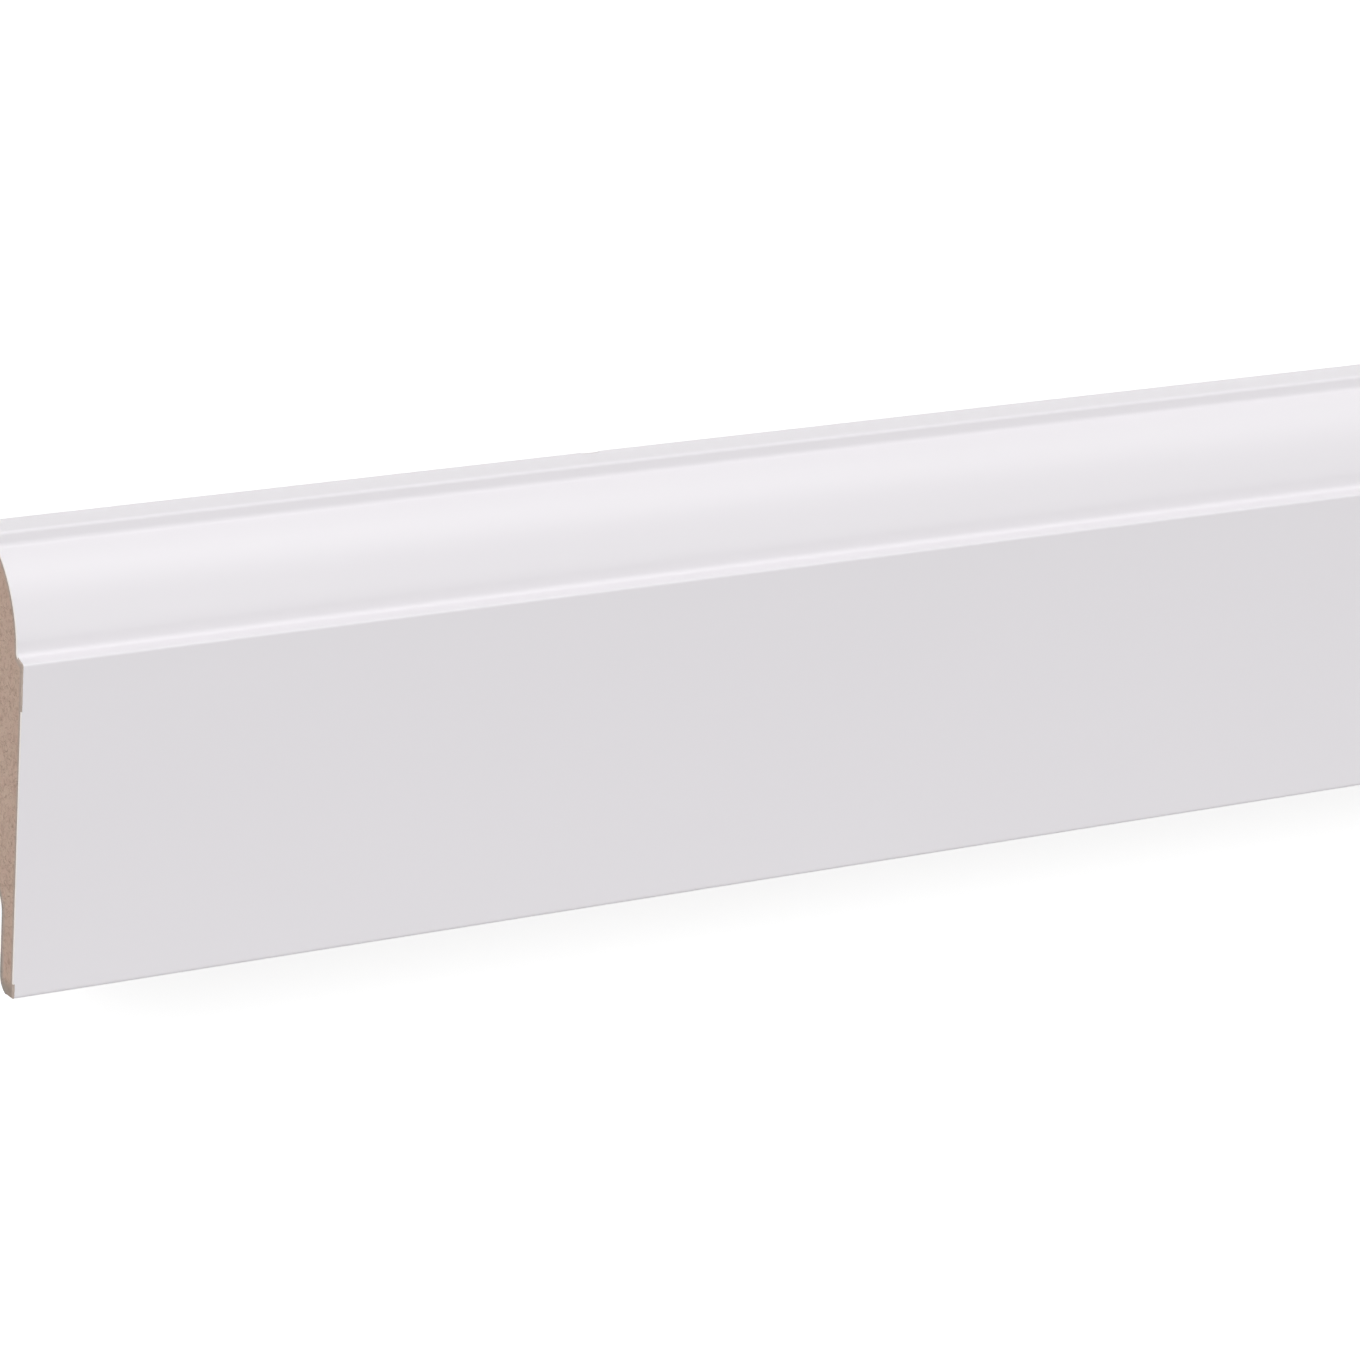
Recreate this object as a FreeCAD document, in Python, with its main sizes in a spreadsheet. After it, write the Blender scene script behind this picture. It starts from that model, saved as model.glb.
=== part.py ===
import FreeCAD, Part
import math
import os
import Sketcher

# Skirting board length
# One length of moulded MDF board, lying on its back.
# +X runs along the board, +Y towards its moulded top edge and +Z out of its face.
# The origin is on the back plane, at mid length and mid height.
# A section is seen from +X, with height to the right and depth upwards.

NODE = "skirting_board"

# Alias, size in millimetres, and what the size is
DIMENSIONS = (
    ("board_length", 2400, "length of the stock, cut square at both ends"),
    ("board_height", 80, "floor edge to top edge"),
    ("board_thickness", 18, "back to face"),
    ("quirk_depth", 2.25, "the moulding's foot, behind the face"),
    ("ledge_rise", 0.7, "how far the ledge at the foot of the moulding slopes up"),
    ("lower_fillet_height", 2.6, "flat strip between the ledge and the ovolo"),
    ("ovolo_depth", 8.75, "the ovolo, front to back"),
    ("ovolo_rise", 14.1, "the ovolo, bottom to top"),
    ("ovolo_radius", 21, "the ovolo's curve"),
    ("upper_fillet_height", 2.5, "flat strip between the ovolo and the top edge"),
    ("tongue_thickness", 5.1, "board left in front of the cable rebate"),
    ("rebate_height", 19, "cable rebate, from the floor edge up"),
    ("rebate_corner_radius", 5, "inner corner of the cable rebate"),
    ("tongue_nose_radius", 3.3, "back corner of the tongue, at the floor"),
    ("floor_arris_radius", 0.8, "front corner of the tongue, at the floor"),
    ("ledge_arris_radius", 0.5, "outer corner of the ledge, where the face begins"),
    ("quirk_cove_radius", 1, "inner corner of the ledge"),
    ("upper_cove_radius", 1.2, "inner corner at the top of the ovolo"),
    ("top_arris_radius", 0.7, "front corner of the top edge"),
)

# A sketch numbers an edge's two ends from 1 upwards, and its own two axes from -1 downwards
START, END = range(1, 3)
HEIGHT_AXIS, DEPTH_AXIS = range(-1, -3, -1)
VOLUME_TOLERANCE = 1e-6
PLACE_TOLERANCE = 1e-4


def make_sheet(doc):
    """Put the driving dimensions in a spreadsheet, one row each."""
    sheet = doc.addObject("Spreadsheet::Sheet", "Dimensions")
    for row, (alias, size, meaning) in enumerate(DIMENSIONS, start=1):
        sheet.set(f"A{row}", alias)
        sheet.set(f"B{row}", str(size))
        sheet.setAlias(f"B{row}", alias)
        sheet.set(f"C{row}", meaning)
    doc.recompute()
    return sheet


def section_sketch(body, name):
    """Add an empty sketch of the board's section, on the plane across its length."""
    plane = next(feature for feature in body.Origin.OriginFeatures if feature.Role == "YZ_Plane")
    sketch = body.newObject("Sketcher::SketchObject", name)
    sketch.AttachmentSupport = [(plane, "")]
    sketch.MapMode = "FlatFace"
    return sketch


def constrain(sketch, kind, *geometry):
    """Add a constraint that has no size."""
    sketch.addConstraint(Sketcher.Constraint(kind, *geometry))


def dimension(sketch, name, expression, kind, *geometry_and_size):
    """Add a constraint with a size, and bind that size to the sheet."""
    index = sketch.addConstraint(Sketcher.Constraint(kind, *geometry_and_size))
    sketch.renameConstraint(index, name)
    sketch.setExpression(f"Constraints.{name}", expression)


def add_loop(sketch, edges):
    """Add edges that follow one another round a closed outline, and join them end to end."""
    ids = [sketch.addGeometry(edge, False) for edge in edges]
    for this, following in zip(ids, ids[1:] + ids[:1]):
        constrain(sketch, "Coincident", this, END, following, START)
    return ids


def line(start, end):
    return Part.LineSegment(FreeCAD.Vector(*start), FreeCAD.Vector(*end))


def bulging_arc(start, end, radius):
    """The arc of a given radius from start to end that swells to the right of the way there."""
    first = FreeCAD.Vector(*start)
    last = FreeCAD.Vector(*end)
    chord = last - first
    sagitta = radius - math.sqrt(radius**2 - chord.Length**2 / 4)
    outwards = FreeCAD.Vector(chord.y, -chord.x).normalize()
    return Part.Arc(first, (first + last) / 2 + outwards * sagitta, last)


def section_places(sheet):
    """Heights above mid height and depths above the back plane that the corners share."""
    top = sheet.board_height / 2
    ovolo_top = top - sheet.upper_fillet_height
    ovolo_foot = ovolo_top - sheet.ovolo_rise
    ledge_inner = ovolo_foot - sheet.lower_fillet_height
    quirk = sheet.board_thickness - sheet.quirk_depth
    return {
        "floor": -top,
        "ledge_outer": ledge_inner - sheet.ledge_rise,
        "ledge_inner": ledge_inner,
        "ovolo_foot": ovolo_foot,
        "ovolo_top": ovolo_top,
        "top": top,
        "rebate_top": sheet.rebate_height - top,
        "back": 0,
        "tongue_back": sheet.board_thickness - sheet.tongue_thickness,
        "top_land": quirk - sheet.ovolo_depth,
        "quirk": quirk,
        "face": sheet.board_thickness,
    }


def draw_moulded_section(sketch, sheet, at):
    """The full section before the rebate is cut, anticlockwise from the back of the floor edge."""
    back, top_land, upper_fillet, ovolo, lower_fillet, ledge, face, floor_edge = add_loop(sketch, (
        line((at["floor"], at["back"]), (at["top"], at["back"])),
        line((at["top"], at["back"]), (at["top"], at["top_land"])),
        line((at["top"], at["top_land"]), (at["ovolo_top"], at["top_land"])),
        bulging_arc((at["ovolo_top"], at["top_land"]), (at["ovolo_foot"], at["quirk"]), sheet.ovolo_radius),
        line((at["ovolo_foot"], at["quirk"]), (at["ledge_inner"], at["quirk"])),
        line((at["ledge_inner"], at["quirk"]), (at["ledge_outer"], at["face"])),
        line((at["ledge_outer"], at["face"]), (at["floor"], at["face"])),
        line((at["floor"], at["face"]), (at["floor"], at["back"])),
    ))
    for edge in (upper_fillet, lower_fillet, face):
        constrain(sketch, "Horizontal", edge)
    for edge in (top_land, floor_edge):
        constrain(sketch, "Vertical", edge)
    constrain(sketch, "PointOnObject", back, START, HEIGHT_AXIS)
    constrain(sketch, "Symmetric", back, START, back, END, DEPTH_AXIS)

    size = "Dimensions."
    dimension(sketch, "height", size + "board_height",
              "DistanceX", back, START, back, END, sheet.board_height)
    dimension(sketch, "thickness", size + "board_thickness",
              "DistanceY", floor_edge, END, floor_edge, START, sheet.board_thickness)
    dimension(sketch, "upper_fillet", size + "upper_fillet_height",
              "DistanceX", upper_fillet, END, upper_fillet, START, sheet.upper_fillet_height)
    dimension(sketch, "ovolo_up", size + "ovolo_rise",
              "DistanceX", lower_fillet, START, upper_fillet, END, sheet.ovolo_rise)
    dimension(sketch, "ovolo_across", size + "ovolo_depth",
              "DistanceY", upper_fillet, END, lower_fillet, START, sheet.ovolo_depth)
    dimension(sketch, "ovolo_curve", size + "ovolo_radius",
              "Radius", ovolo, sheet.ovolo_radius)
    dimension(sketch, "lower_fillet", size + "lower_fillet_height",
              "DistanceX", lower_fillet, END, lower_fillet, START, sheet.lower_fillet_height)
    dimension(sketch, "ledge", size + "ledge_rise",
              "DistanceX", ledge, END, ledge, START, sheet.ledge_rise)
    dimension(sketch, "quirk", size + "quirk_depth",
              "DistanceY", ledge, START, ledge, END, sheet.quirk_depth)


def draw_rebate_section(sketch, sheet, at):
    """The waste behind the tongue, cut out to leave room for cables."""
    mouth, ceiling, tongue_back, floor_side = add_loop(sketch, (
        line((at["floor"], at["back"]), (at["rebate_top"], at["back"])),
        line((at["rebate_top"], at["back"]), (at["rebate_top"], at["tongue_back"])),
        line((at["rebate_top"], at["tongue_back"]), (at["floor"], at["tongue_back"])),
        line((at["floor"], at["tongue_back"]), (at["floor"], at["back"])),
    ))
    for edge in (mouth, tongue_back):
        constrain(sketch, "Horizontal", edge)
    for edge in (ceiling, floor_side):
        constrain(sketch, "Vertical", edge)
    constrain(sketch, "PointOnObject", mouth, START, HEIGHT_AXIS)

    size = "Dimensions."
    dimension(sketch, "half_height", size + "board_height / 2",
              "DistanceX", mouth, START, HEIGHT_AXIS, START, sheet.board_height / 2)
    dimension(sketch, "rebate", size + "rebate_height",
              "DistanceX", mouth, START, mouth, END, sheet.rebate_height)
    dimension(sketch, "rebate_depth", size + "board_thickness - " + size + "tongue_thickness",
              "DistanceY", ceiling, START, ceiling, END, at["tongue_back"])


def edge_along_board(shape, height, depth):
    """Name of the edge that runs the length of the board at a given place in its section."""
    for index, edge in enumerate(shape.Edges, start=1):
        middle = edge.CenterOfMass
        off = math.hypot(middle.y - height, middle.z - depth)
        if off < PLACE_TOLERANCE and edge.BoundBox.XLength > edge.Length / 2:
            return f"Edge{index}"
    raise ValueError(f"no edge along the board at height {height}, depth {depth}")


def round_corner(body, name, height, depth, radius_alias):
    """Round one long corner of the section to a radius from the sheet."""
    base = body.Tip
    fillet = body.newObject("PartDesign::Fillet", name)
    fillet.Base = (base, [edge_along_board(base.Shape, height, depth)])
    fillet.setExpression("Radius", f"Dimensions.{radius_alias}")
    body.Document.recompute()
    return fillet


def make_board(doc, sheet):
    """The whole board: moulded section, cable rebate, and the corners rounded by the cutters."""
    body = doc.addObject("PartDesign::Body", "SkirtingBoard")
    body.Label = NODE
    at = section_places(sheet)

    moulded_section = section_sketch(body, "MouldedSection")
    draw_moulded_section(moulded_section, sheet, at)
    board = body.newObject("PartDesign::Pad", "MouldedLength")
    board.Profile = moulded_section
    board.setExpression("Length", "Dimensions.board_length")
    board.Midplane = True
    doc.recompute()

    rebate_section = section_sketch(body, "RebateSection")
    draw_rebate_section(rebate_section, sheet, at)
    rebate = body.newObject("PartDesign::Pocket", "CableRebate")
    rebate.Profile = rebate_section
    rebate.Type = "ThroughAll"
    rebate.Midplane = True
    doc.recompute()
    waste = sheet.rebate_height * at["tongue_back"] * sheet.board_length
    removed = board.Shape.Volume - rebate.Shape.Volume
    if abs(removed - waste) > waste * VOLUME_TOLERANCE:
        raise ValueError(f"the rebate took {removed} cubic millimetres and not {waste}")

    corners = (
        ("RebateCorner", "rebate_top", "tongue_back", "rebate_corner_radius"),
        ("TongueNose", "floor", "tongue_back", "tongue_nose_radius"),
        ("FloorArris", "floor", "face", "floor_arris_radius"),
        ("LedgeArris", "ledge_outer", "face", "ledge_arris_radius"),
        ("QuirkCove", "ledge_inner", "quirk", "quirk_cove_radius"),
        ("UpperCove", "ovolo_top", "top_land", "upper_cove_radius"),
        ("TopArris", "top", "top_land", "top_arris_radius"),
    )
    for name, height, depth, radius_alias in corners:
        round_corner(body, name, at[height], at[depth], radius_alias)
    return body


def check(doc, parts):
    """Stop before anything is written if a feature failed or a shape is not one sound solid."""
    for item in doc.Objects:
        if "Invalid" in item.State or "Error" in item.State:
            raise ValueError(f"{item.Name} failed: {item.State}")
        if item.isDerivedFrom("Sketcher::SketchObject") and not item.FullyConstrained:
            raise ValueError(f"{item.Name} is not fully constrained")
    for part in parts:
        if part.Shape.isNull() or not part.Shape.isValid() or len(part.Shape.Solids) != 1:
            raise ValueError(f"{part.Label} is not one valid solid")


def main():
    doc = FreeCAD.newDocument("SkirtingBoardLength")
    sheet = make_sheet(doc)
    parts = [make_board(doc, sheet)]
    doc.recompute()
    check(doc, parts)

    os.makedirs("parts", exist_ok=True)
    for part in parts:
        part.Shape.exportStep(f"parts/{part.Label}.step")
        box = part.Shape.BoundBox
        print(f"{part.Label}: {box.XLength:.1f} x {box.YLength:.1f} x {box.ZLength:.1f} mm, "
              f"{part.Shape.Volume / 1000:.0f} cubic centimetres")


main()
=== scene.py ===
import math
from collections import namedtuple
from itertools import accumulate

import bpy
from mathutils import Matrix, Vector
from mathutils.geometry import delaunay_2d_cdt, intersect_point_line


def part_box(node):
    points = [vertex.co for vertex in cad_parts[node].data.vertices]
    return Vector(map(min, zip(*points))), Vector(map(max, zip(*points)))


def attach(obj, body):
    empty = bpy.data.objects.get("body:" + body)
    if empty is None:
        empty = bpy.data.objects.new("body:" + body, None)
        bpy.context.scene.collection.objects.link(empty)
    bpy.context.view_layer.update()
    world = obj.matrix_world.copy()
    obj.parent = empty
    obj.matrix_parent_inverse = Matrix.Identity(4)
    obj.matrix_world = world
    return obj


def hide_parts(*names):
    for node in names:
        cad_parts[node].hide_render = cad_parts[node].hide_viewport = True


# Skirting board length
# One length of moulded MDF with a white coat, lying on its back.
# +X runs along the board, +Y towards its moulded top edge and +Z out of its face.
# A section is seen from +X: its corners are (y, z) pairs, taken anticlockwise.

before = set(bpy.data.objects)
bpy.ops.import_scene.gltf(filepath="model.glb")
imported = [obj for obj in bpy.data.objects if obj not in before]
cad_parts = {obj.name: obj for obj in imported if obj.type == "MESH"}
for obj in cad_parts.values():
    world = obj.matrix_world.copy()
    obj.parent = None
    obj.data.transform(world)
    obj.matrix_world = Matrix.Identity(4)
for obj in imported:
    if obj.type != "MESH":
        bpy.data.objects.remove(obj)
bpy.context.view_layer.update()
NODE = "skirting_board"
LOWEST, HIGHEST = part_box(NODE)

MM = 0.001

# A corner of the section, and the radius that rounds it
Corner = namedtuple("Corner", "y z radius")

# A cloudy noise: the size of its blots along X, Y and Z, and how fine and how strong its detail is
Noise = namedtuple("Noise", "size detail roughness", defaults=(2, 0.5))

# A colour that is laid over another one, and how strongly
Stain = namedtuple("Stain", "colour strength", defaults=(1,))

# The board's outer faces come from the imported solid
BOARD_END = HIGHEST.x
FLOOR_EDGE, TOP_EDGE = LOWEST.y, HIGHEST.y
BACK, FACE = LOWEST.z, HIGHEST.z

# The moulding and the cable rebate
QUIRK_DEPTH = 2.25 * MM
LEDGE_RISE = 0.7 * MM
LOWER_FILLET = 2.6 * MM
OVOLO_DEPTH = 8.75 * MM
OVOLO_RISE = 14.1 * MM
OVOLO_RADIUS = 21 * MM
UPPER_FILLET = 2.5 * MM
TONGUE = 5.1 * MM
REBATE_HEIGHT = 19 * MM

# Both fillets tilt a little: the lower one to the ovolo's foot, and the upper one to the top edge
FOOT_DIP = 0.2 * MM
TOP_FALL = 0.12 * MM

# Corner radii
TOP_BACK_EASE = 0.4 * MM
TOP_ARRIS = 0.7 * MM
UPPER_COVE = 1.2 * MM
QUIRK_COVE = 1 * MM
LEDGE_ARRIS = 0.5 * MM
FLOOR_ARRIS = 0.8 * MM
TONGUE_NOSE = 3.3 * MM
REBATE_CORNER = 5 * MM
REBATE_HEEL = 0.25 * MM

# The ovolo's own points start this share of the cove's radius away from its top
COVE_SHARE = 0.75

# The white coat is wrapped round both long edges, and ends thinly a little way behind them
COAT = 0.3 * MM
COAT_END = 0.1 * MM
TOP_LAP = 6 * MM
NOSE_LAP = 7 * MM

# How finely the mesh follows the section
FLAT_STEP = 3 * MM
EDGE_SUPPORT = 0.2 * MM
OVOLO_STEP = 0.6 * MM
CORNER_STEP = math.radians(10)
END_GRID = 0.4 * MM
END_RING_STEP = 1.5 * MM
WELD = 0.001 * MM
SAME_POINT = 0.0001 * MM
SHARP_ANGLE = math.radians(32)

# The kind of triangulation that fills an outline and leaves out what is beyond it
FILL_INSIDE = 1

# A face is an end's where its normal's X, of either sign, is larger than this
END_FACING = 0.5

# What the saw leaves at both ends
SAW_WAVES = Noise((0.9 * MM, 1.1 * MM, 0.8 * MM), 3, 0.6)
CHIP_WAVES = Noise((1.2 * MM, 1.2 * MM, 1.2 * MM))
CHIP_CUT = (0.5, 0.8)

# The saw has torn the coat back at the left end: beside the ledge, and at the floor corner
LEDGE_TEAR_FOOT = 11.8 * MM
LEDGE_TEAR_DEPTH = 0.9 * QUIRK_DEPTH
LEDGE_TEAR = 0.2 * MM
FLOOR_TEAR_HEIGHT = 2.9 * MM
FLOOR_TEAR = 0.35 * MM
TEAR_WAVES = Noise((0.5 * MM, 0.7 * MM, 0.5 * MM))
TEAR_RAGGED = (0.7, 1.3)

# A nick on the back corner of the top edge
NICK_PLACE = -1080.8 * MM
NICK_HALF_LENGTH = 2 * MM
NICK_DEPTH = 0.35 * MM
# The nick's scuff and painted shade reach twice as deep as the dent
NICK_SCUFF_AND_SHADE = 2 * NICK_DEPTH
NICK_SLOPE_ALONG = 0.6
NICK_SLOPE_ACROSS = 0.8
NICK_WAVES = Noise((0.9 * MM, 0.9 * MM, 0.9 * MM))
NICK_RAGGED = (0.6, 1.4)

# The node tree's sizes and finishes, by the names of its inputs
TREE_SIZES = {
    "Board End": BOARD_END,
    "Ring Step": 20 * MM,
    "End Ring Step": END_RING_STEP,
    "End Reach": 9 * MM,
    "Nick Place": NICK_PLACE,
    "Nick Half Length": NICK_HALF_LENGTH,
    "Nick Depth": NICK_DEPTH,
    "Nick Ring Step": 0.2 * MM,
    "Saw Depth": 0.05 * MM,
    "Saw Roughness": 0.12 * MM,
    "Chip Depth": 0.12 * MM,
    "Ledge Tear": LEDGE_TEAR,
    "Floor Tear": FLOOR_TEAR,
}
TREE_FINISHES = ("Coat", "Sawn", "Machined")

# How hard a noise is cut, from soft clouds to a few small marks
SOFT = (0.3, 0.7)
CLEAR = (0.35, 0.65)
SPARSE = (0.62, 0.76)

# The white coat
COAT_WHITE = (0.863, 0.838, 0.869, 1)
COAT_SHADE = (0.847, 0.822, 0.852, 1)
CUT_CREAM = (0.88, 0.84, 0.81, 1)
# Painted shade: the coat's cut edge behind the tongue is dark grey-brown, as if unlit there
CUT_PAINTED_SHADE = (0.235, 0.208, 0.185, 1)
TORN_DARK = (0.4, 0.32, 0.275, 1)
TORN_PALE = (0.51, 0.42, 0.365, 1)
# The nick's colour: partly a scuff, partly painted shade of the dent
SCUFF_AND_SHADE = (0.62, 0.56, 0.545, 1)
CUT_EDGE = 0.13 * MM
COAT_CLOUDS = Noise((70 * MM, 30 * MM, 30 * MM), 3)
COAT_LINES = Noise((260 * MM, 0.9 * MM, 0.9 * MM), 3)
COAT_PEEL = Noise((1.6 * MM, 1.3 * MM, 1.3 * MM))
COAT_RELIEF = 0.01 * MM
COAT_ROUGHNESS = (0.34, 0.42)

# The sawn ends: the ground, what lies over it, and where
SAWN_PINK = (0.536, 0.376, 0.305, 1)
SAWN_GREY = (0.56, 0.416, 0.33, 1)
PALE_GRAIN = Stain((0.617, 0.475, 0.4, 1), 0.3)
PALE_FIBRE = Stain((0.65, 0.49, 0.4, 1), 0.5)
DARK_SPECK = Stain((0.39, 0.268, 0.208, 1), 0.6)
DARK_FIBRE = Stain((0.36, 0.25, 0.19, 1))
GREY_RIM = Stain((0.458, 0.374, 0.326, 1), 0.8)
# Painted shade: the sawn end darker towards the floor edge, on the tongue's nose
NOSE_PAINTED_SHADE = Stain((0.35, 0.286, 0.24, 1), 0.85)
# Painted shade along the rim of the sawn end behind the tongue
TONGUE_RIM_PAINTED_SHADE = Stain((0.34, 0.295, 0.26, 1), 0.8)
GREY_RIM_SPAN = (1.1 * MM, 0.6 * MM)
# The painted shade on the nose grows from 3 mm above the floor edge to full at 1.6 mm
NOSE_SHADE_SPAN = (FLOOR_EDGE + 3 * MM, FLOOR_EDGE + 1.6 * MM)
# The painted shade behind the tongue grows from 0.5 mm in from the rim to full at 0.2 mm
TONGUE_RIM_SHADE_SPAN = (0.5 * MM, 0.2 * MM)
SWIRLS = Noise((1.5 * MM, 1.5 * MM, 1.5 * MM))
SWIRL_REACH = 1.6 * MM
PATCHES = Noise((2.6 * MM, 2.6 * MM, 2.2 * MM))
GRAIN = Noise((0.24 * MM, 0.24 * MM, 0.24 * MM), 3, 0.7)
SPECK_SPACING = (1.6 * MM, 1.6 * MM, 1.6 * MM)
SPECK_SPAN = (0.36, 0.1)
EMPTY_CELLS = 0.45
PALE_STROKES = Noise((0.5 * MM, 1.2 * MM, 0.22 * MM), 1)
PALE_ANGLES = (0.8, 2.0)
DARK_STROKES = Noise((0.5 * MM, 1.5 * MM, 0.27 * MM), 1)
DARK_ANGLES = (0.3, 1.2, 2.3)
DARK_CUT = (0.6, 0.74)
CROWDS = Noise((11 * MM, 11 * MM, 8 * MM), 1)
CROWD_CUT = (0.42, 0.6)
CROWD_STRENGTH = (0.5, 0.9)
FIBRE_RELIEF = 0.06 * MM
SPECK_PIT = 0.048 * MM
SAWN_ROUGHNESS = 0.92

# The machined back and rebate
MACHINED_DARK = (0.50, 0.375, 0.30, 1)
MACHINED_PALE = (0.55, 0.425, 0.345, 1)
CUTTER_LINE = Stain((0.46, 0.34, 0.27, 1), 0.35)
BACK_SPECK = Stain((0.30, 0.21, 0.165, 1), 0.6)
BLOTCHES = Noise((9 * MM, 5 * MM, 5 * MM), 3)
CUTTER_LINES = Noise((60 * MM, 0.5 * MM, 0.5 * MM), 2)
BACK_SPECKS = Noise((0.9 * MM, 0.6 * MM, 0.6 * MM), 1)
LINE_RELIEF = 0.036 * MM
BLOTCH_RELIEF = 0.012 * MM
MACHINED_ROUGHNESS = 0.85

# The map for a baked finish: the long faces in lengths side by side, then both ends, enlarged
MAP_NAME = "OFBake"
MAP_LENGTHS = 3
MAP_GAP = 6 * MM
MAP_MARGIN = 20 * MM
END_ENLARGED = 6

# The floor and the backdrop
FLOOR_HALF = 80
FLOOR_GREY = 0.55
FLOOR_GLOW = 0.68
WHITE = (1, 1, 1, 1)

# Far lamps: a name, the direction that each shines from, its strength, and whether gloss mirrors it
LAMPS = (
    ("key", (-0.75, 0.507, 0.425), 1.93, False),
    ("overhead", (0.35, 0.082, 0.933), 0.46, True),
    ("low_back", (0.35, 0.786, 0.51), 0.64, True),
    ("low_front", (0.1, -0.99, 0.08), 0.6, True),
)
LAMP_SPREAD = math.radians(30)
WORLD_LIGHT = 0.25

# A long strip of light beside the board
STRIP_PLACE = (0, -0.17, 0.15)
STRIP_AIM = (0, -0.02, BACK)
STRIP_SIZE = (3.4, 0.06)
STRIP_POWER = 0.3

# The camera, fitted to the photograph: where it is, what it looks at, and how far it is tilted
SENSOR = 36
FOCAL_LENGTH = 160.5
CAMERA_PLACE = Vector((-1626.2, 347.56, 878.94)) * MM
CAMERA_AIM = Vector((-1069.84, 1.42, 18)) * MM
CAMERA_ROLL = math.radians(-3.844)


class Wire:
    """A node's output. Arithmetic on it adds the Math nodes that work it out."""

    def __init__(self, graph, socket):
        self.graph = graph
        self.socket = socket

    def __getitem__(self, output):
        """Another output of the same node."""
        return Wire(self.graph, find_socket(self.socket.node.outputs, output))

    def maths(self, operation, *values, clamp=False):
        """One Math node."""
        settings = {"operation": operation, "use_clamp": clamp}
        return self.graph.add("ShaderNodeMath", settings, dict(enumerate(values)))

    def __add__(self, other):
        return self.maths("ADD", self, other)

    def __radd__(self, other):
        return self.maths("ADD", other, self)

    def __sub__(self, other):
        return self.maths("SUBTRACT", self, other)

    def __rsub__(self, other):
        return self.maths("SUBTRACT", other, self)

    def __mul__(self, other):
        return self.maths("MULTIPLY", self, other)

    def __rmul__(self, other):
        return self.maths("MULTIPLY", other, self)

    def __truediv__(self, other):
        return self.maths("DIVIDE", self, other)

    def __rtruediv__(self, other):
        return self.maths("DIVIDE", other, self)

    def __neg__(self):
        return self.maths("MULTIPLY", self, -1)

    def __gt__(self, other):
        return self.maths("GREATER_THAN", self, other)

    def __lt__(self, other):
        return self.maths("LESS_THAN", self, other)

    def size(self):
        return self.maths("ABSOLUTE", self)

    def sign(self):
        return self.maths("SIGN", self)

    def rounded_up(self):
        return self.maths("CEIL", self)

    def within(self, low, high):
        """0 at low, 1 at high and clamped beyond them."""
        return self.maths("DIVIDE", self - low, high - low, clamp=True)

    def spread(self, low, high):
        """low where this is 0, and high where it is 1."""
        return low + (high - low) * self


def find_socket(sockets, key):
    """The socket at a place in the list, or with an identifier or a name."""
    if isinstance(key, int):
        return sockets[key]
    return next(socket for socket in sockets if key in (socket.identifier, socket.name))


class Graph:
    """A node tree that is being built."""

    def __init__(self, tree):
        self.tree = tree

    def add(self, kind, settings=None, inputs=None, output=0):
        """Add one node: its settings, then the values or wires of its sockets."""
        node = self.tree.nodes.new(kind)
        for name, value in (settings or {}).items():
            setattr(node, name, value)
        for name, value in (inputs or {}).items():
            socket = find_socket(node.inputs, name)
            for each in value if isinstance(value, list) else [value]:
                if isinstance(each, Wire):
                    self.tree.links.new(each.socket, socket)
                else:
                    socket.default_value = each
        return Wire(self, find_socket(node.outputs, output)) if node.outputs else None

    def vector(self, x, y, z):
        """One vector from three values."""
        return self.add("ShaderNodeCombineXYZ", {}, {"X": x, "Y": y, "Z": z})

    def parts(self, vector):
        """The X, Y and Z of a vector."""
        separated = self.add("ShaderNodeSeparateXYZ", {}, {"Vector": vector})
        return separated["X"], separated["Y"], separated["Z"]

    def in_steps(self, place, sizes):
        """A place counted in steps of these sizes along X, Y and Z."""
        return self.add("ShaderNodeVectorMath", {"operation": "DIVIDE"}, {0: place, 1: sizes})

    def noise(self, place, pattern, output="Fac"):
        """Cloudy noise with the blots of a pattern."""
        inputs = {"Vector": self.in_steps(place, pattern.size), "Scale": 1.0,
                  "Detail": pattern.detail, "Roughness": pattern.roughness}
        return self.add("ShaderNodeTexNoise", {}, inputs, output)

    def mix(self, factor, first, second):
        """Blend two colours."""
        inputs = {"Factor_Float": factor, "A_Color": first, "B_Color": second}
        return self.add("ShaderNodeMix", {"data_type": "RGBA"}, inputs, "Result_Color")

    def stained(self, ground, stains):
        """A colour with stains laid over it in turn, each by its mask."""
        for mask, stain in stains:
            ground = self.mix(mask * stain.strength, ground, stain.colour)
        return ground


# The section

def arc_points(centre, first, last, step):
    """Points from first to last round a centre, both included, the short way."""
    spoke = first - centre
    turn = -spoke.angle_signed(last - centre)
    count = max(1, math.ceil(abs(turn) / step))
    return [centre + Matrix.Rotation(turn * part / count, 2) @ spoke for part in range(count + 1)]


def round_corner(before, corner, after):
    """The arc that replaces a corner, or the corner itself where it is sharp."""
    here = Vector((corner.y, corner.z))
    if not corner.radius:
        return [here]
    back = (before - here).normalized()
    on = (after - here).normalized()
    half = back.angle(on) / 2
    reach = corner.radius / math.tan(half)
    centre = here + (back + on).normalized() * corner.radius / math.sin(half)
    return arc_points(centre, here + back * reach, here + on * reach, CORNER_STEP)


def ovolo_points(top, foot):
    """The ovolo's curve, bulging out of the face, less its foot and what the cove above it takes."""
    chord = foot - top
    rise = math.sqrt(OVOLO_RADIUS**2 - chord.length_squared / 4)
    centre = (top + foot) / 2 + Vector((-chord.y, chord.x)).normalized() * rise
    curve = arc_points(centre, top, foot, OVOLO_STEP / OVOLO_RADIUS)[:-1]
    return [point for point in curve if (point - top).length > COVE_SHARE * UPPER_COVE]


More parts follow.
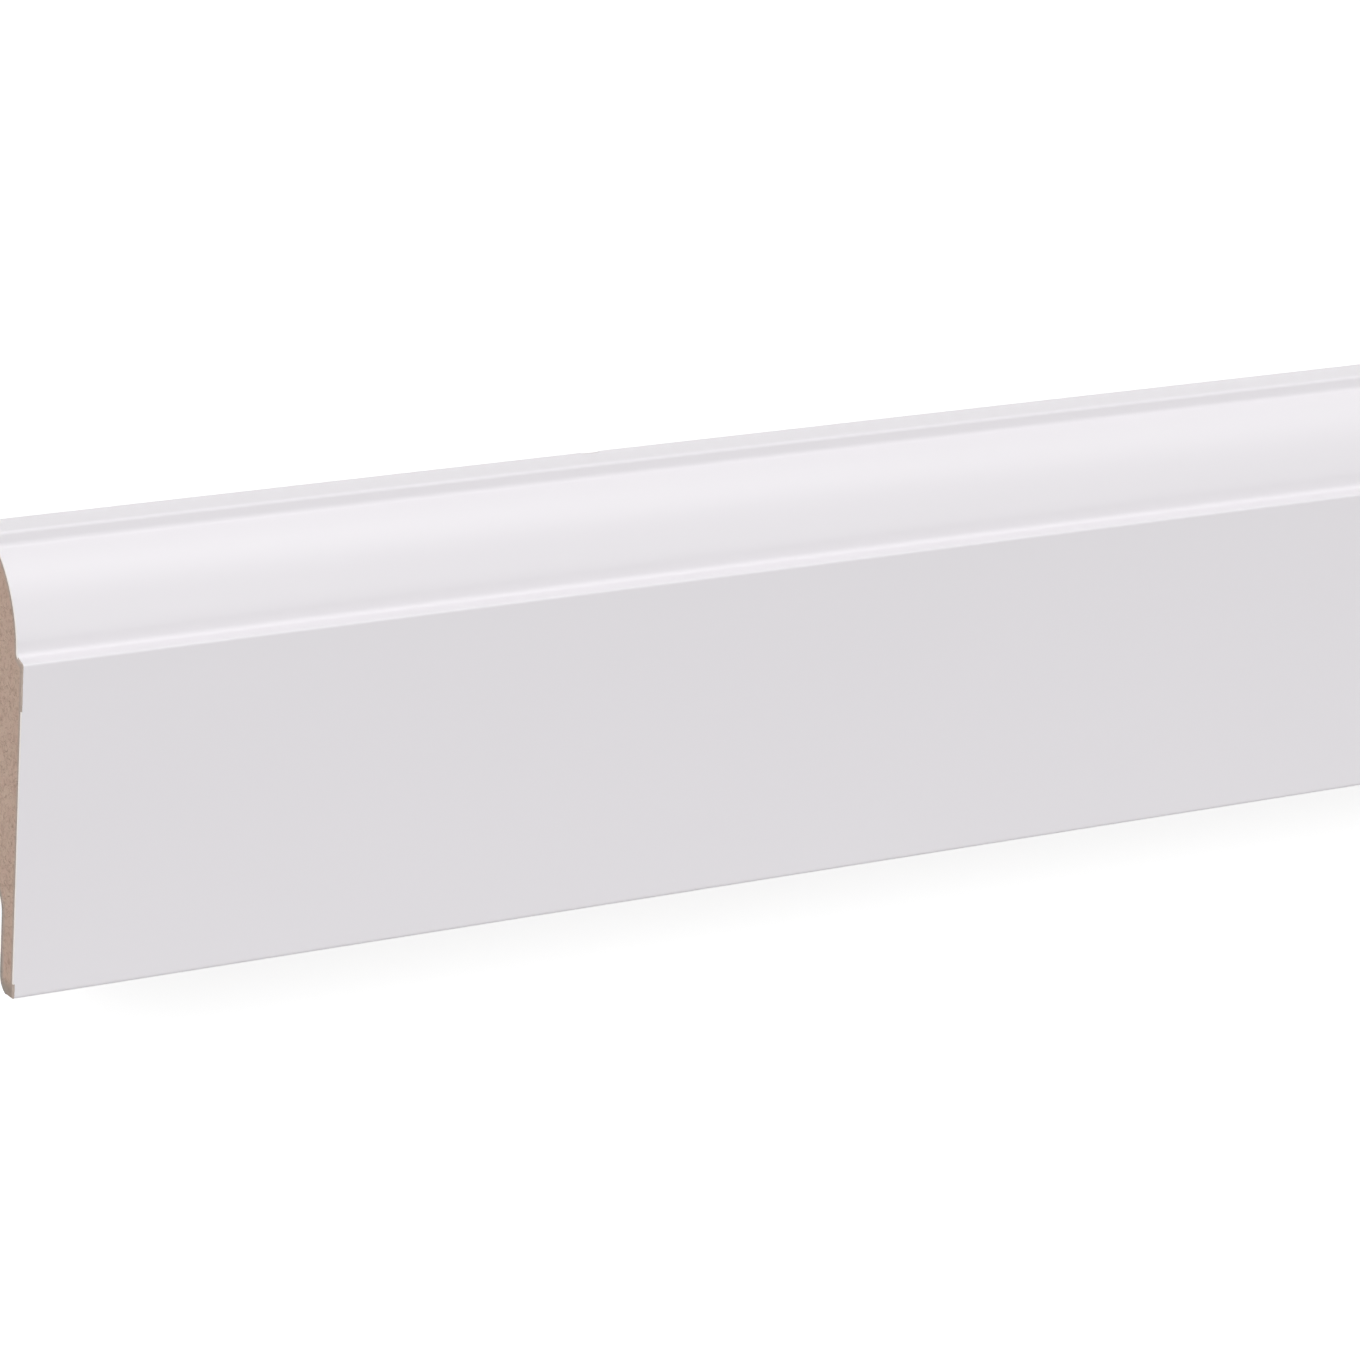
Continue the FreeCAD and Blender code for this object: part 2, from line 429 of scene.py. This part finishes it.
def section_corners():
    """The coated corners, from the lap behind the top edge round to the other lap, then the bare ones."""
    top_land = FACE - QUIRK_DEPTH - OVOLO_DEPTH
    quirk = FACE - QUIRK_DEPTH
    tongue_back = FACE - TONGUE
    rebate_top = FLOOR_EDGE + REBATE_HEIGHT
    ovolo_top = TOP_EDGE - UPPER_FILLET
    ovolo_foot = ovolo_top - OVOLO_RISE
    ledge_inner = ovolo_foot - LOWER_FILLET
    foot = quirk - FOOT_DIP
    curve = ovolo_points(Vector((ovolo_top, top_land)), Vector((ovolo_foot, foot)))
    coated = [
        Corner(TOP_EDGE - TOP_LAP, BACK, 0),
        Corner(TOP_EDGE, BACK, TOP_BACK_EASE),
        Corner(TOP_EDGE, top_land - TOP_FALL, TOP_ARRIS),
        Corner(ovolo_top, top_land, UPPER_COVE),
        *(Corner(*point, 0) for point in curve),
        Corner(ovolo_foot, foot, 0),
        Corner(ledge_inner, quirk, QUIRK_COVE),
        Corner(ledge_inner - LEDGE_RISE, FACE, LEDGE_ARRIS),
        Corner(FLOOR_EDGE, FACE, FLOOR_ARRIS),
        Corner(FLOOR_EDGE, tongue_back, TONGUE_NOSE),
        Corner(FLOOR_EDGE + NOSE_LAP, tongue_back, 0),
    ]
    bare = [
        Corner(rebate_top, tongue_back, REBATE_CORNER),
        Corner(rebate_top, BACK, REBATE_HEEL),
    ]
    return coated, bare


def along_flat(start, end):
    """Points between two ends of a flat: one close to each end, and even steps between."""
    length = (end - start).length
    if length < 4 * EDGE_SUPPORT:
        return []
    middle = length - 2 * EDGE_SUPPORT
    count = max(1, math.ceil(middle / FLAT_STEP))
    steps = (EDGE_SUPPORT + middle * part / count for part in range(count + 1))
    return [start.lerp(end, step / length) for step in steps]


def section_outline():
    """The whole outline as points, and how many of them, from the first, carry the coat."""
    coated, bare = section_corners()
    corners = coated + bare
    places = [Vector((corner.y, corner.z)) for corner in corners]
    rounded = [round_corner(places[index - 1], corner, places[(index + 1) % len(corners)])
               for index, corner in enumerate(corners)]
    outline = []
    for index, points in enumerate(rounded):
        if index == len(coated) - 1:
            coated_count = len(outline) + 1
        following = rounded[(index + 1) % len(rounded)]
        outline += points + along_flat(points[-1], following[0])
    return outline, coated_count


def board_outline(outline, coated_count):
    """The bare board inside the coat: the outline moved in by the coat's thickness."""
    moved = []
    for index, here in enumerate(outline):
        back = (here - outline[index - 1]).normalized()
        on = (outline[(index + 1) % len(outline)] - here).normalized()
        inwards = Vector((-back.y, back.x)) + Vector((-on.y, on.x))
        depth = COAT if 0 < index < coated_count - 1 else COAT_END
        moved.append(here + inwards * depth / (1 + back.dot(on)))
    return moved


def with_previous(outline):
    """Each point of a closed outline, with the one before it."""
    return zip(outline, outline[-1:] + outline[:-1])


def is_inside(point, outline):
    """Whether a line from the point crosses the outline an odd number of times."""
    inside = False
    for here, before in with_previous(outline):
        if (here.y > point.y) != (before.y > point.y):
            crossing = here.x + (point.y - here.y) * (before.x - here.x) / (before.y - here.y)
            inside ^= point.x < crossing
    return inside


def gap_to(point, outline):
    """The distance from a point to the nearest edge of an outline."""
    gaps = []
    for here, before in with_previous(outline):
        nearest, part = intersect_point_line(point, before, here)
        end = before if part < 0 else here if part > 1 else nearest.to_2d()
        gaps.append((point - end).length)
    return min(gaps)


def grid_inside(outline, clearance):
    """Staggered grid points inside an outline, clear of its edges."""
    lowest = [min(point[axis] for point in outline) for axis in range(2)]
    highest = [max(point[axis] for point in outline) for axis in range(2)]
    rows = math.floor((highest[1] - lowest[1]) / END_GRID)
    columns = math.floor((highest[0] - lowest[0]) / END_GRID)
    points = []
    for row in range(rows):
        stagger = row % 2 / 2
        for column in range(columns):
            across = lowest[0] + (column + 0.5 + stagger) * END_GRID
            point = Vector((across, lowest[1] + (row + 0.5) * END_GRID))
            if is_inside(point, outline) and gap_to(point, outline) > clearance:
                points.append(point)
    return points


def section_mesh():
    """The board's end as a flat mesh: a strip of coat, and the bare board inside it."""
    outline, coated_count = section_outline()
    core = board_outline(outline, coated_count)
    filling = grid_inside(core, END_GRID / 2)
    rim_edges = [(index, (index + 1) % len(core)) for index in range(len(core))]
    points, _, triangles, origins, _, _ = delaunay_2d_cdt(
        core + filling, rim_edges, [list(range(len(core)))], FILL_INSIDE, SAME_POINT)
    first = len(points)
    coat_faces = [(first + index, first + index + 1, index + 1, index)
                  for index in range(coated_count - 1)]

    mesh = bpy.data.meshes.new("section")
    places = [(0, *point) for point in list(points) + outline[:coated_count]]
    mesh.from_pydata(places, [], [tuple(face) for face in triangles] + coat_faces)
    rim = [origin[0] < len(core) if origin else False for origin in origins]
    gaps = [gap_to(point, core) for point in points]
    steps = ((here - before).length for here, before in zip(outline[1:], outline))
    girths = list(accumulate(steps, initial=0))
    core_girths = [girths[origin[0]] if on_rim else 0 for origin, on_rim in zip(origins, rim)]
    coat_only = [False] * first + [True] * coated_count
    coat_strip = [False] * len(triangles) + [True] * len(coat_faces)
    store(mesh, "coated", "BOOLEAN", "POINT", coat_only)
    store(mesh, "sunk", "BOOLEAN", "POINT", [not on_rim for on_rim in rim] + [False] * coated_count)
    store(mesh, "coat_strip", "BOOLEAN", "FACE", coat_strip)
    store(mesh, "rim_gap", "FLOAT", "POINT", gaps + [0] * coated_count)
    store(mesh, "girth", "FLOAT", "POINT", core_girths + girths[:coated_count])
    return mesh


def store(mesh, name, kind, domain, values):
    """Give a mesh an attribute."""
    mesh.attributes.new(name, kind, domain).data.foreach_set("value", values)


# The node tree that grows the board

def section_curve(graph, section):
    """The outline of the section as a closed curve, laid the way a sweep along +X needs it."""
    faces_beside = graph.add("GeometryNodeInputMeshEdgeNeighbors")
    outline = graph.add("GeometryNodeMeshToCurve", {}, {"Mesh": section, "Selection": 2 - faces_beside})
    outline = graph.add("GeometryNodeReverseCurve", {}, {"Curve": outline})
    _, y, z = graph.parts(graph.add("GeometryNodeInputPosition"))
    return graph.add("GeometryNodeSetPosition", {},
                     {"Geometry": outline, "Position": graph.vector(-y, -z, 0)})


def stretch(graph, start, end, step):
    """A straight line along X from start to end, in even steps no longer than step."""
    line = graph.add("GeometryNodeCurvePrimitiveLine", {},
                     {"Start": graph.vector(start, 0, 0), "End": graph.vector(end, 0, 0)})
    count = ((end - start) / step).rounded_up() + 1
    return graph.add("GeometryNodeResampleCurve", {}, {"Curve": line, "Count": count})


def swept_sides(graph, section, sizes):
    """The long faces, swept in stretches, with closer rings at the ends and the nick."""
    end, nick = sizes["Board End"], sizes["Nick Place"]
    reach, spread = sizes["End Reach"], sizes["Nick Half Length"] * 2
    stops = [-end, reach - end, nick - spread, nick + spread, end - reach, end]
    steps = [sizes[name] for name in
             ("End Ring Step", "Ring Step", "Nick Ring Step", "Ring Step", "End Ring Step")]
    lines = [stretch(graph, *ends_and_step) for ends_and_step in zip(stops, stops[1:], steps)]
    path = graph.add("GeometryNodeJoinGeometry", {}, {"Geometry": lines})
    return graph.add("GeometryNodeCurveToMesh", {},
                     {"Curve": path, "Profile Curve": section_curve(graph, section)})


def closed_ends(graph, section, sizes):
    """The section at both ends of the board, each facing out."""
    end = sizes["Board End"]
    right, left = (graph.add("GeometryNodeTransform", {},
                             {"Geometry": section, "Translation": graph.vector(place, 0, 0)})
                   for place in (end, -end))
    return [right, graph.add("GeometryNodeFlipFaces", {}, {"Mesh": left})]


def flag(graph, name):
    """A true-or-false attribute of the section."""
    return graph.add("GeometryNodeInputNamedAttribute", {"data_type": "BOOLEAN"}, {"Name": name})


def torn_back(graph, place, ledge_tear, floor_tear):
    """How far the coat is torn back from the left end: 0 but beside the ledge and at the floor corner."""
    x, y, z = graph.parts(place)
    ledge = TOP_EDGE - UPPER_FILLET - OVOLO_RISE - LOWER_FILLET
    beside_ledge = (y > LEDGE_TEAR_FOOT) * (y < ledge) * (z > FACE - LEDGE_TEAR_DEPTH)
    at_floor = (y < FLOOR_EDGE + FLOOR_TEAR_HEIGHT) * (z > FACE - TONGUE / 2)
    at_end = x < END_RING_STEP / 2 - BOARD_END
    return at_end * (beside_ledge * ledge_tear + at_floor * floor_tear)


def roughened_ends(graph, board, sizes):
    """The saw leaves the bare end a little below the coat, and uneven, and chips the coat."""
    place = graph.add("GeometryNodeInputPosition")
    x, _, _ = graph.parts(place)
    rough = graph.noise(place, SAW_WAVES)
    chip = graph.noise(place, CHIP_WAVES).within(*CHIP_CUT)
    at_end = x.size() > sizes["Board End"] - sizes["End Ring Step"] / 2
    torn = torn_back(graph, place, sizes["Ledge Tear"], sizes["Floor Tear"])
    depth = flag(graph, "sunk") * (sizes["Saw Depth"] + sizes["Saw Roughness"] * rough)
    depth = depth + flag(graph, "coated") * at_end * (chip * sizes["Chip Depth"] + torn)
    return graph.add("GeometryNodeSetPosition", {},
                     {"Geometry": board, "Offset": graph.vector(-x.sign() * depth, 0, 0)})


def nick_mask(graph, place, centre, half_length, depth):
    """1 in the nick on the back corner of the top edge, and 0 away from it."""
    x, y, z = graph.parts(place)
    along = (x - centre).size() / half_length
    across = (TOP_EDGE - y + (z - BACK)) / (2 * depth)
    return (1 - along).within(0, NICK_SLOPE_ALONG) * (1 - across).within(0, NICK_SLOPE_ACROSS)


def nicked(graph, board, sizes):
    """A shallow nick pressed into the back corner of the top edge."""
    place = graph.add("GeometryNodeInputPosition")
    depth = sizes["Nick Depth"]
    nick = nick_mask(graph, place, sizes["Nick Place"], sizes["Nick Half Length"], depth)
    depth = nick * depth * graph.noise(place, NICK_WAVES).spread(*NICK_RAGGED)
    return graph.add("GeometryNodeSetPosition", {},
                     {"Geometry": board, "Offset": graph.vector(0, -depth, depth)})


def shaded(graph, board):
    """Smooth faces with the sharp corners of the section kept sharp."""
    angle = graph.add("GeometryNodeInputMeshEdgeAngle")
    smooth = graph.add("GeometryNodeSetShadeSmooth", {"domain": "FACE"}, {"Geometry": board})
    return graph.add("GeometryNodeSetShadeSmooth", {"domain": "EDGE"},
                     {"Geometry": smooth, "Selection": angle > SHARP_ANGLE, "Shade Smooth": False})


def finished(graph, board, sizes):
    """Real geometry, with the coat on its faces and its strip at the ends, and the rest bare."""
    normal_x, _, _ = graph.parts(graph.add("GeometryNodeInputNormal"))
    coat = flag(graph, "coated") + flag(graph, "coat_strip")
    finishes = (("Machined", True), ("Sawn", normal_x.size() > END_FACING), ("Coat", coat))
    board = graph.add("GeometryNodeRealizeInstances", {}, {"Geometry": board})
    for name, selection in finishes:
        board = graph.add("GeometryNodeSetMaterial", {},
                          {"Geometry": board, "Selection": selection, "Material": sizes[name]})
    return board


def board_tree():
    """The node tree that makes the whole board from its flat section."""
    tree = bpy.data.node_groups.new("moulded_length", "GeometryNodeTree")
    tree.interface.new_socket("Geometry", in_out="OUTPUT", socket_type="NodeSocketGeometry")
    tree.interface.new_socket("Geometry", in_out="INPUT", socket_type="NodeSocketGeometry")
    for name in TREE_SIZES:
        tree.interface.new_socket(name, in_out="INPUT", socket_type="NodeSocketFloat")
    for name in TREE_FINISHES:
        tree.interface.new_socket(name, in_out="INPUT", socket_type="NodeSocketMaterial")
    graph = Graph(tree)
    sizes = graph.add("NodeGroupInput")
    section = sizes["Geometry"]
    pieces = [swept_sides(graph, section, sizes), *closed_ends(graph, section, sizes)]
    board = graph.add("GeometryNodeJoinGeometry", {}, {"Geometry": pieces})
    board = graph.add("GeometryNodeMergeByDistance", {}, {"Geometry": board, "Distance": WELD})
    for step in (roughened_ends, nicked):
        board = step(graph, board, sizes)
    board = finished(graph, shaded(graph, board), sizes)
    graph.add("NodeGroupOutput", {}, {"Geometry": board})
    return tree


# The finishes

def new_finish(name):
    """A material with an empty node tree."""
    finish = bpy.data.materials.new(name)
    finish.use_nodes = True
    finish.node_tree.nodes.clear()
    return finish, Graph(finish.node_tree)


def dress(graph, colour, roughness, relief):
    """Give a finish its surface. The relief is a height in metres."""
    normal = graph.add("ShaderNodeBump", {}, {"Height": relief, "Distance": 1.0}, "Normal")
    inputs = {"Base Color": colour, "Roughness": roughness, "Normal": normal}
    shader = graph.add("ShaderNodeBsdfPrincipled", {}, inputs)
    graph.add("ShaderNodeOutputMaterial", {}, {"Surface": shader})


def specks(graph, place):
    """Round soft specks, one in some cells of an uneven lattice: 1 in the middle, 0 outside."""
    lattice = graph.in_steps(place, SPECK_SPACING)
    cells = graph.add("ShaderNodeTexVoronoi", {}, {"Vector": lattice, "Scale": 1.0}, "Distance")
    chance, _, _ = graph.parts(cells["Color"])
    return cells.within(*SPECK_SPAN) * (chance > EMPTY_CELLS)


def strokes(graph, place, angles, pattern, cut):
    """Short fibres that lie across the end at several angles: 1 on a fibre, 0 beside it."""
    marks = None
    for angle in angles:
        turned = graph.add("ShaderNodeMapping", {}, {"Vector": place, "Rotation": (angle, 0, 0)})
        fibre = graph.noise(turned, pattern).within(*cut)
        marks = marks.maths("MAXIMUM", marks, fibre) if marks else fibre
    return marks


def behind_tongue(graph, place):
    """1 on the back half of the tongue, and 0 elsewhere."""
    _, y, z = graph.parts(place)
    return (y < FLOOR_EDGE + REBATE_HEIGHT) * (z < FACE - TONGUE / 2)


def white_coat():
    """Smooth satin white, cream where cut off but painted shade behind the tongue, torn back at one end,
    and scuffed with painted shade in the nick.
    """
    finish, graph = new_finish("white_coat")
    place = graph.add("ShaderNodeTexCoord", output="Object")
    x, _, _ = graph.parts(place)
    lines = graph.noise(place, COAT_LINES)
    peel = graph.noise(place, COAT_PEEL)
    ragged = graph.noise(place, TEAR_WAVES)

    white = graph.mix(graph.noise(place, COAT_CLOUDS), COAT_WHITE, COAT_SHADE)
    # Painted shade: the cut edge turns dark behind the tongue instead of cream
    edge = graph.mix(behind_tongue(graph, place), CUT_CREAM, CUT_PAINTED_SHADE)
    white = graph.mix(x.size() > BOARD_END - CUT_EDGE, white, edge)
    torn_to = torn_back(graph, place, LEDGE_TEAR, FLOOR_TEAR) * ragged.spread(*TEAR_RAGGED)
    torn = (torn_to > 0) * (x < torn_to - BOARD_END)
    colour = graph.mix(torn, white, graph.mix(ragged.within(*SOFT), TORN_DARK, TORN_PALE))
    # A scuff in the nick, partly painted shade of the dent
    scuff_and_shade = nick_mask(graph, place, NICK_PLACE, NICK_HALF_LENGTH, NICK_SCUFF_AND_SHADE)
    colour = graph.mix(scuff_and_shade, colour, SCUFF_AND_SHADE)
    dress(graph, colour, lines.spread(*COAT_ROUGHNESS), (lines + peel) * COAT_RELIEF)
    return finish


def sawn_mdf():
    """Sawn ends: pink and grey patches, specks, loose fibres, a greyer rim, and painted shade on the
    tongue's nose and behind the tongue.
    """
    finish, graph = new_finish("sawn_mdf")
    place = graph.add("ShaderNodeTexCoord", output="Object")
    _, y, _ = graph.parts(place)
    rim_gap = graph.add("ShaderNodeAttribute", {"attribute_name": "rim_gap"}, output="Fac")
    swirl = graph.noise(place, SWIRLS, output="Color")
    swirl = graph.add("ShaderNodeVectorMath", {"operation": "SCALE"}, {0: swirl, "Scale": SWIRL_REACH})
    bent = graph.add("ShaderNodeVectorMath", {"operation": "ADD"}, {0: place, 1: swirl})
    grain = graph.noise(place, GRAIN)
    speck = specks(graph, bent)
    dark = strokes(graph, bent, DARK_ANGLES, DARK_STROKES, DARK_CUT)
    pale = strokes(graph, bent, PALE_ANGLES, PALE_STROKES, SPARSE)
    crowded = graph.noise(place, CROWDS).within(*CROWD_CUT).spread(*CROWD_STRENGTH)
    # Painted shade along the rim behind the tongue
    tongue_rim_shade = rim_gap.within(*TONGUE_RIM_SHADE_SPAN) * behind_tongue(graph, place)

    ground = graph.mix(graph.noise(place, PATCHES).within(*CLEAR), SAWN_PINK, SAWN_GREY)
    colour = graph.stained(ground, (
        (grain.within(*SOFT), PALE_GRAIN),
        (pale, PALE_FIBRE),
        (speck, DARK_SPECK),
        (dark * crowded, DARK_FIBRE),
        (rim_gap.within(*GREY_RIM_SPAN), GREY_RIM),
        # Painted shade: darker towards the floor edge on the nose, and along the rim behind the tongue
        (y.within(*NOSE_SHADE_SPAN), NOSE_PAINTED_SHADE),
        (tongue_rim_shade, TONGUE_RIM_PAINTED_SHADE),
    ))
    dress(graph, colour, SAWN_ROUGHNESS, (grain + pale - dark) * FIBRE_RELIEF - speck * SPECK_PIT)
    return finish


def machined_mdf():
    """The bare back and rebate: even brown, faint specks, and fine lines along the board."""
    finish, graph = new_finish("machined_mdf")
    place = graph.add("ShaderNodeTexCoord", output="Object")
    blotch = graph.noise(place, BLOTCHES)
    line = graph.noise(place, CUTTER_LINES)
    speck = graph.noise(place, BACK_SPECKS).within(*SPARSE)

    ground = graph.mix(blotch.within(*SOFT), MACHINED_DARK, MACHINED_PALE)
    colour = graph.stained(ground, ((line.within(*CLEAR), CUTTER_LINE), (speck, BACK_SPECK)))
    dress(graph, colour, MACHINED_ROUGHNESS, line * LINE_RELIEF + blotch * BLOTCH_RELIEF)
    return finish


# The board

def lay_out_map(mesh):
    """Give the board its map, by how far round the section and along the board each corner is."""
    girths = [item.value for item in mesh.attributes["girth"].data]
    perimeter = max(girths)
    column = perimeter + MAP_GAP
    length = 2 * BOARD_END / MAP_LENGTHS
    thickness = FACE - BACK
    ends_width = END_ENLARGED * (2 * thickness + MAP_GAP)
    whole = max(MAP_LENGTHS * column + ends_width, length + 2 * MAP_MARGIN)
    corners = mesh.uv_layers.new(name=MAP_NAME).data
    for face in mesh.polygons:
        number = min(int((face.center.x + BOARD_END) / length), MAP_LENGTHS - 1)
        nearest = min(girths[vertex] for vertex in face.vertices)
        farthest = max(girths[vertex] for vertex in face.vertices)
        for corner, vertex in zip(face.loop_indices, face.vertices):
            x, y, z = mesh.vertices[vertex].co
            if abs(face.normal.x) > END_FACING:
                beside = (thickness + MAP_GAP / 2) * (face.center.x > 0)
                u = MAP_LENGTHS * column + END_ENLARGED * (beside + z - BACK)
                v = END_ENLARGED * (y - FLOOR_EDGE)
            else:
                closing = farthest - nearest > perimeter / 2 and girths[vertex] < perimeter / 2
                u = number * column + girths[vertex] + perimeter * closing
                v = x + BOARD_END - number * length + MAP_MARGIN
            corners[corner].uv = u / whole, v / whole


def add_object(name, data):
    """A new object in the scene."""
    added = bpy.data.objects.new(name, data)
    bpy.context.scene.collection.objects.link(added)
    return added


def make_board():
    """The whole board as one plain mesh, grown by the node tree from its flat section."""
    sketch = add_object("section", section_mesh())
    tree = board_tree()
    grown = sketch.modifiers.new("moulded_length", "NODES")
    grown.node_group = tree
    values = {**TREE_SIZES, "Coat": white_coat(), "Sawn": sawn_mdf(), "Machined": machined_mdf()}
    for socket in tree.interface.items_tree:
        if socket.name in values:
            grown[socket.identifier] = values[socket.name]
    depsgraph = bpy.context.evaluated_depsgraph_get()
    mesh = bpy.data.meshes.new_from_object(sketch.evaluated_get(depsgraph))
    bpy.data.objects.remove(sketch)
    # The section's own empty slot comes before the three finishes
    mesh.materials.pop(index=0)
    lay_out_map(mesh)
    return add_object("moulded_board", mesh)


# The studio

def background_rays(graph):
    """1 for the rays that show a background: straight from the camera, mirrored or through glass."""
    rays = graph.add("ShaderNodeLightPath")
    seen = rays["Is Camera Ray"] + rays["Is Glossy Ray"] + rays["Is Transmission Ray"]
    return seen.maths("MINIMUM", seen, 1)


def add_floor():
    """A wide pale floor that looks white where nothing shades it."""
    half = FLOOR_HALF
    corners = [(-half, -half, 0), (half, -half, 0), (half, half, 0), (-half, half, 0)]
    mesh = bpy.data.meshes.new("floor")
    mesh.from_pydata(corners, [], [(0, 1, 2, 3)])
    floor = add_object("floor", mesh)
    finish, graph = new_finish("pale_floor")
    grey = (FLOOR_GREY, FLOOR_GREY, FLOOR_GREY, 1)
    matt = graph.add("ShaderNodeBsdfDiffuse", {}, {"Color": grey})
    glow = graph.add("ShaderNodeEmission", {}, {"Strength": background_rays(graph) * FLOOR_GLOW})
    both = graph.add("ShaderNodeAddShader", {}, {0: matt, 1: glow})
    graph.add("ShaderNodeOutputMaterial", {}, {"Surface": both})
    mesh.materials.append(finish)


def add_world():
    """Soft light from everywhere, behind a white backdrop."""
    world = bpy.data.worlds.new("studio")
    bpy.context.scene.world = world
    world.use_nodes = True
    world.node_tree.nodes.clear()
    graph = Graph(world.node_tree)
    soft = graph.add("ShaderNodeBackground", {}, {"Color": WHITE, "Strength": WORLD_LIGHT})
    backdrop = graph.add("ShaderNodeBackground", {}, {"Color": WHITE, "Strength": 1.0})
    shown = graph.add("ShaderNodeMixShader", {}, {0: background_rays(graph), 1: soft, 2: backdrop})
    graph.add("ShaderNodeOutputWorld", {}, {"Surface": shown})


def turned_to(direction):
    """The turn that makes a lamp shine from a direction."""
    return Vector(direction).to_track_quat("Z", "Y").to_euler()


def add_lamp(name, direction, strength, mirrored):
    """A far lamp that shines evenly along the board."""
    lamp = bpy.data.lights.new(name, "SUN")
    lamp.energy = strength
    lamp.angle = LAMP_SPREAD
    placed = add_object(name, lamp)
    placed.rotation_euler = turned_to(direction)
    placed.visible_glossy = mirrored


def add_strip():
    """A long soft strip beside the board, parallel with it and turned to it."""
    lamp = bpy.data.lights.new("strip", "AREA")
    lamp.shape = "RECTANGLE"
    lamp.size, lamp.size_y = STRIP_SIZE
    lamp.energy = STRIP_POWER
    placed = add_object("strip", lamp)
    placed.location = STRIP_PLACE
    placed.rotation_euler = turned_to(Vector(STRIP_PLACE) - Vector(STRIP_AIM))
    placed.visible_camera = False


def add_camera():
    """A long lens close to one end of the board, above its moulded edge, looking down on it."""
    camera = bpy.data.cameras.new("camera")
    camera.sensor_width = SENSOR
    camera.lens = FOCAL_LENGTH
    camera.clip_end = 4 * FLOOR_HALF
    ahead = (CAMERA_AIM - CAMERA_PLACE).normalized()
    right = ahead.cross(Vector((0, 1, 0))).normalized()
    up = right.cross(ahead)
    turned = Matrix.Rotation(CAMERA_ROLL, 3, ahead) @ Matrix((right, up, -ahead)).transposed()
    placed = add_object("camera", camera)
    placed.matrix_world = Matrix.Translation(CAMERA_PLACE) @ turned.to_4x4()
    bpy.context.scene.camera = placed


board = make_board()
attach(board, "root")
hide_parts(NODE)

add_floor()
add_world()
for lamp in LAMPS:
    add_lamp(*lamp)
add_strip()
add_camera()
bpy.context.scene.view_settings.view_transform = "Standard"
